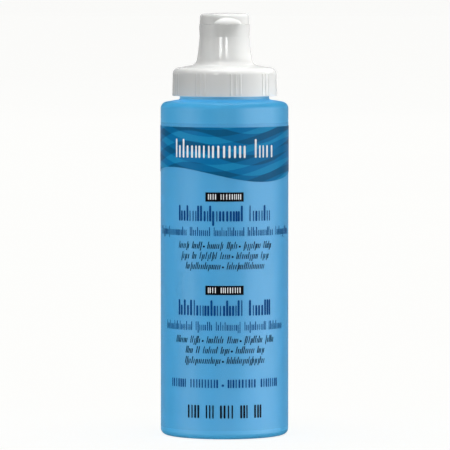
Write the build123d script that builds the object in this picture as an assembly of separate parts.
from build123d import *
import os
from math import asin, atan, cos, degrees, sin

# A 250 mL squeeze bottle of blue ultrasound gel with a screw-on flip-top cap.
# Millimetres, +Z up. The origin is the centre of the base, on the surface that the bottle stands on.
# The front, where the lid's thumb lip points, faces -Y, and the lid's hinge is at the back, at +Y.

# ---------------------------------------------------------------- bottle
body_radius = 26.0
wall = 1.2
base_corner_radius = 2.4
ring_inner_radius = 20.5
push_up = 2.6
shoulder_corner_height = 135.2
shoulder_corner_radius = 2.8
collar_radius = 18.2
collar_foot_height = 136.5
collar_foot_radius = 0.7
collar_top_height = 138.5

# ---------------------------------------------------------------- 38 mm screw neck
neck_radius = 17.5
neck_bore_radius = 16.0
lip_height = 147.2
lip_rounding = 0.3
thread_pitch = 25.4 / 6
bottle_thread_crest = 18.7
bottle_thread_start = 140.7
bottle_thread_turns = 1.15
thread_root_width = 2.1
thread_crest_width = 1.0
thread_embed = 0.3

# ---------------------------------------------------------------- gel
gel_level = 138.0

# ---------------------------------------------------------------- label film
label_thickness = 0.1
label_bottom = 3.6
label_top = 127.4
label_gap_width = 3.0
label_turn = -7.0

# ---------------------------------------------------------------- pinch-off weld on the base
weld_length = 27.0
weld_width = 0.6
weld_height = 0.25

# ---------------------------------------------------------------- cap gasket
gasket_thickness = 0.8
gasket_outer_radius = 18.6
gasket_inner_radius = 14.6

# ---------------------------------------------------------------- cap body
skirt_bottom = 138.05
skirt_bottom_radius = 21.25
skirt_top_radius = 21.0
skirt_corner_height = 149.1
skirt_corner_radius = 2.5
skirt_bore_radius = 19.05
skirt_lead_in = 0.5
cap_thread_crest = 17.95
cap_thread_width_ratio = 0.9
cap_thread_turns = 1.05
cap_thread_lag = 65.0
thread_play = 0.2

tower_foot_radius = 12.5
tower_foot_height = 150.5
tower_foot_fillet = 1.3
tower_middle_radius = 10.85
tower_middle_height = 156.6
crease_radius = 10.0
crease_height = 162.0
parting_radius = 10.1
parting_height = 167.0
parting_chamfer = 0.25
tower_bore_foot_radius = 10.8
tower_bore_radius = 8.7
tower_bore_bend_height = 161.5
tower_bore_top = 165.4

spout_foot_radius = 5.0
spout_top_radius = 3.6
spout_top = 169.7
spout_rounding = 0.5
orifice_radius = 1.6
orifice_countersink = 0.35

# ---------------------------------------------------------------- grip ribs on the skirt
rib_groups = 9
ribs_per_group = 3
rib_pitch_angle = 5.3
rib_phase = 5.5
rib_radius = 0.28
rib_bottom = 138.5
rib_top = 147.3

# ---------------------------------------------------------------- flip lid
lid_gap = 0.05
lid_top_radius = 9.9
lid_corner_height = 171.25
lid_corner_radius = 1.4
lid_crown_height = 171.65
lid_cavity_radius = 8.3
lid_cavity_top = 170.3
lip_half_width = 5.7
lip_reach = 2.4
lip_tallness = 2.7
plug_radius = 1.53
plug_tip_radius = 1.15
plug_taper_top = 169.4
plug_bottom = 168.3

# ---------------------------------------------------------------- living hinge
web_half_width = 3.0
web_face = 9.6
web_thickness = 0.35
web_bottom = 165.5
web_top = 168.6
web_side_gap = 0.1

# The angle of the seam line of every turned shape, clear of the ribs, the hinge and the thread ends
seam_turn = 20.0

# ---------------------------------------------------------------- values worked out from the above
lid_bottom = parting_height + lid_gap
deck_underside = lip_height + gasket_thickness


def turned(points_and_edges, fillets=()):
    """Revolves the closed outline given by its edges, rounding the corners listed as ((r, z), radius)."""
    face = make_face(Plane.XZ * points_and_edges)
    for (r, z), radius in fillets:
        corner = face.vertices().sort_by_distance(Vector(r, 0, z))[0]
        face = fillet(corner, radius)
    return Rot(0, 0, seam_turn) * revolve(face, Axis.Z)


def ring(outer, inner, bottom, top):
    """A plain tube between two heights."""
    height = top - bottom
    tube = Cylinder(outer, height) - Cylinder(inner, height)
    return Pos(0, 0, (bottom + top) / 2) * tube


def thread(root, crest, root_width, crest_width, start, turns, start_angle=0.0):
    """A helical ridge from the root radius to the crest radius, set into the wall behind the root."""
    inward = 1 if crest < root else -1
    path = Helix(thread_pitch, thread_pitch * turns, root, (0, 0, start))
    section = Plane(path @ 0, x_dir=(1, 0, 0), z_dir=path % 0) * make_face(
        Polyline(
            (inward * thread_embed, -root_width / 2),
            (0, -root_width / 2),
            (crest - root, -crest_width / 2),
            (crest - root, crest_width / 2),
            (0, root_width / 2),
            (inward * thread_embed, root_width / 2),
            close=True,
        )
    )
    ridge = sweep(section, path=path, is_frenet=True)
    return Rot(0, 0, start_angle) * ridge


def dome_arc(middle_height, edge_radius, edge_height):
    """An arc that starts level on the axis and falls to the given edge."""
    fall = middle_height - edge_height
    sphere_radius = (edge_radius**2 + fall**2) / (2 * fall)
    half_angle = asin(edge_radius / sphere_radius) / 2
    halfway = (sphere_radius * sin(half_angle), middle_height - sphere_radius * (1 - cos(half_angle)))
    return ThreePointArc((0, middle_height), halfway, (edge_radius, edge_height))


def base_dome(lift):
    """The push-up under the base, lifted by the given amount."""
    return dome_arc(push_up + lift, ring_inner_radius, lift)


def bottle_outside():
    outline = base_dome(0) + Polyline(
        (ring_inner_radius, 0),
        (body_radius, 0),
        (body_radius, shoulder_corner_height),
        (collar_radius, collar_foot_height),
        (collar_radius, collar_top_height),
        (neck_radius, collar_top_height),
        (neck_radius, lip_height),
        (0, lip_height),
        (0, push_up),
    )
    rounded = [
        ((body_radius, 0), base_corner_radius),
        ((body_radius, shoulder_corner_height), shoulder_corner_radius),
        ((collar_radius, collar_foot_height), collar_foot_radius),
        ((neck_radius, lip_height), lip_rounding),
    ]
    return turned(outline, rounded)


def bottle_inside(top):
    """The space inside the bottle up to the given height in the neck bore."""
    inner = body_radius - wall
    shoulder = shoulder_corner_height - wall
    neck_foot = collar_foot_height - wall
    outline = base_dome(wall) + Polyline(
        (ring_inner_radius, wall),
        (inner, wall),
        (inner, shoulder),
        (neck_bore_radius, neck_foot),
        (neck_bore_radius, top),
        (0, top),
        (0, push_up + wall),
    )
    rounded = [
        ((inner, wall), base_corner_radius - wall),
        ((inner, shoulder), shoulder_corner_radius - wall),
        ((neck_bore_radius, neck_foot), collar_foot_radius + wall),
    ]
    return turned(outline, rounded)


def base_weld():
    """The pinch-off weld, a low straight ridge that follows the push-up."""
    outline = (
        base_dome(-weld_height)
        + Line((ring_inner_radius, -weld_height), (ring_inner_radius, wall / 2))
        + base_dome(wall / 2)
        + Line((0, push_up + wall / 2), (0, push_up - weld_height))
    )
    strip = Pos(0, 0, push_up) * Box(weld_length, weld_width, 2 * push_up)
    return turned(outline) & strip


def make_bottle():
    shell = bottle_outside() - bottle_inside(lip_height)
    ridge = thread(
        neck_radius,
        bottle_thread_crest,
        thread_root_width,
        thread_crest_width,
        bottle_thread_start,
        bottle_thread_turns,
    )
    return shell + base_weld() + ridge


def make_label():
    """The clear film, round the straight side with a narrow gap at the back."""
    outer = body_radius + label_thickness
    sleeve = ring(outer, body_radius, label_bottom, label_top)
    gap = Pos(0, body_radius, (label_bottom + label_top) / 2) * Box(
        label_gap_width, body_radius, label_top - label_bottom
    )
    return Rot(0, 0, label_turn) * (sleeve - gap)


def cap_outside():
    tower = ThreePointArc(
        (tower_foot_radius, tower_foot_height),
        (tower_middle_radius, tower_middle_height),
        (crease_radius, crease_height),
    )
    outline = (
        Polyline(
            (0, skirt_bottom),
            (skirt_bottom_radius, skirt_bottom),
            (skirt_top_radius, skirt_corner_height),
            (tower_foot_radius, tower_foot_height),
        )
        + tower
        + Polyline(
            (crease_radius, crease_height),
            (parting_radius, parting_height - parting_chamfer),
            (parting_radius - parting_chamfer, parting_height),
            (spout_foot_radius, parting_height),
            (spout_top_radius, spout_top),
            (0, spout_top),
            (0, skirt_bottom),
        )
    )
    rounded = [
        ((skirt_top_radius, skirt_corner_height), skirt_corner_radius),
        ((tower_foot_radius, tower_foot_height), tower_foot_fillet),
        ((spout_top_radius, spout_top), spout_rounding),
    ]
    return turned(outline, rounded)


def cap_inside():
    """The skirt's bore, the hollow of the tower and the orifice."""
    outline = Polyline(
        (0, skirt_bottom),
        (skirt_bore_radius + skirt_lead_in, skirt_bottom),
        (skirt_bore_radius, skirt_bottom + skirt_lead_in),
        (skirt_bore_radius, deck_underside),
        (tower_bore_foot_radius, deck_underside),
        (tower_bore_radius, tower_bore_bend_height),
        (tower_bore_radius, tower_bore_top),
        (orifice_radius, tower_bore_top),
        (orifice_radius, spout_top - orifice_countersink),
        (orifice_radius + orifice_countersink, spout_top),
        (0, spout_top),
        (0, skirt_bottom),
    )
    return turned(outline)


def grip_ribs():
    """Groups of thin upright ribs that follow the skirt's draft."""
    height = rib_top - rib_bottom
    skirt_height = skirt_corner_height - skirt_bottom
    draft = (skirt_bottom_radius - skirt_top_radius) / skirt_height
    middle = (rib_bottom + rib_top) / 2
    radius = skirt_bottom_radius - draft * (middle - skirt_bottom)
    rib = Pos(radius, 0, middle) * Rot(0, -degrees(atan(draft)), 0) * Cylinder(rib_radius, height)
    ribs = []
    for group in range(rib_groups):
        for place in range(ribs_per_group):
            offset = (place - (ribs_per_group - 1) / 2) * rib_pitch_angle
            angle = -90 + rib_phase + group * 360 / rib_groups + offset
            ribs.append(Rot(0, 0, angle) * rib)
    return ribs


def hinge_notch(bottom, top):
    """The flat pocket at the back that the living hinge lies in."""
    half = web_half_width + web_side_gap
    depth = parting_radius
    return Pos(0, web_face + depth / 2, (bottom + top) / 2) * Box(2 * half, depth, top - bottom)


def make_cap_body():
    lag_lift = thread_pitch * cap_thread_lag / 360
    crest_step = (bottle_thread_crest - cap_thread_crest) / (bottle_thread_crest - neck_radius)
    bottle_half = (thread_crest_width + (thread_root_width - thread_crest_width) * crest_step) / 2
    cap_half = thread_crest_width * cap_thread_width_ratio / 2
    below = bottle_half + cap_half + thread_play
    ridge = thread(
        skirt_bore_radius,
        cap_thread_crest,
        thread_root_width * cap_thread_width_ratio,
        thread_crest_width * cap_thread_width_ratio,
        bottle_thread_start + lag_lift - below,
        cap_thread_turns,
        cap_thread_lag,
    )
    shell = cap_outside() + grip_ribs() - cap_inside()
    shell -= hinge_notch(web_bottom, parting_height + lid_gap)
    return shell + ridge


def make_gasket():
    return ring(gasket_outer_radius, gasket_inner_radius, lip_height, deck_underside)


def thumb_lip():
    """Half of an ellipsoid that stands out of the lid's front, flat side down."""
    ball = scale(Sphere(1), by=(lip_half_width, lip_reach, lip_tallness))
    upper = Pos(0, 0, lip_tallness) * Box(4 * lip_half_width, 4 * lip_reach, 2 * lip_tallness)
    return Pos(0, -parting_radius, lid_bottom) * (ball & upper)


def make_lid():
    crown = dome_arc(lid_crown_height, lid_top_radius, lid_corner_height)
    outline = (
        Polyline(
            (0, lid_bottom),
            (parting_radius, lid_bottom),
            (lid_top_radius, lid_corner_height),
        )
        + crown
        + Polyline((0, lid_crown_height), (0, lid_bottom))
    )
    outside = turned(outline, [((lid_top_radius, lid_corner_height), lid_corner_radius)])
    cavity = Pos(0, 0, (lid_bottom + lid_cavity_top) / 2) * Cylinder(
        lid_cavity_radius, lid_cavity_top - lid_bottom
    )
    plug = turned(
        Polyline(
            (0, plug_bottom),
            (plug_tip_radius, plug_bottom),
            (plug_radius, plug_taper_top),
            (plug_radius, lid_cavity_top + lid_gap),
            (0, lid_cavity_top + lid_gap),
            (0, plug_bottom),
        )
    )
    lid = outside + thumb_lip() - cavity + plug
    return lid - hinge_notch(lid_bottom, web_top)


def make_living_hinge():
    """The thin web that joins the tower and the lid."""
    height = web_top - web_bottom
    middle = (web_top + web_bottom) / 2
    return Pos(0, web_face + web_thickness / 2, middle) * Box(2 * web_half_width, web_thickness, height)


nodes = {
    "bottle": make_bottle(),
    "gel_fill": bottle_inside(gel_level),
    "label_film": make_label(),
    "cap_gasket": make_gasket(),
    "cap_body": make_cap_body(),
    "living_hinge": make_living_hinge(),
    "flip_lid": make_lid(),
}

os.makedirs("parts", exist_ok=True)
for name, shape in nodes.items():
    shape.label = name
    export_step(shape, f"parts/{name}.step")

gel_millilitres = nodes["gel_fill"].volume / 1000
brimful_millilitres = bottle_inside(lip_height).volume / 1000
print(f"gel {gel_millilitres:.1f} mL, brimful {brimful_millilitres:.1f} mL")
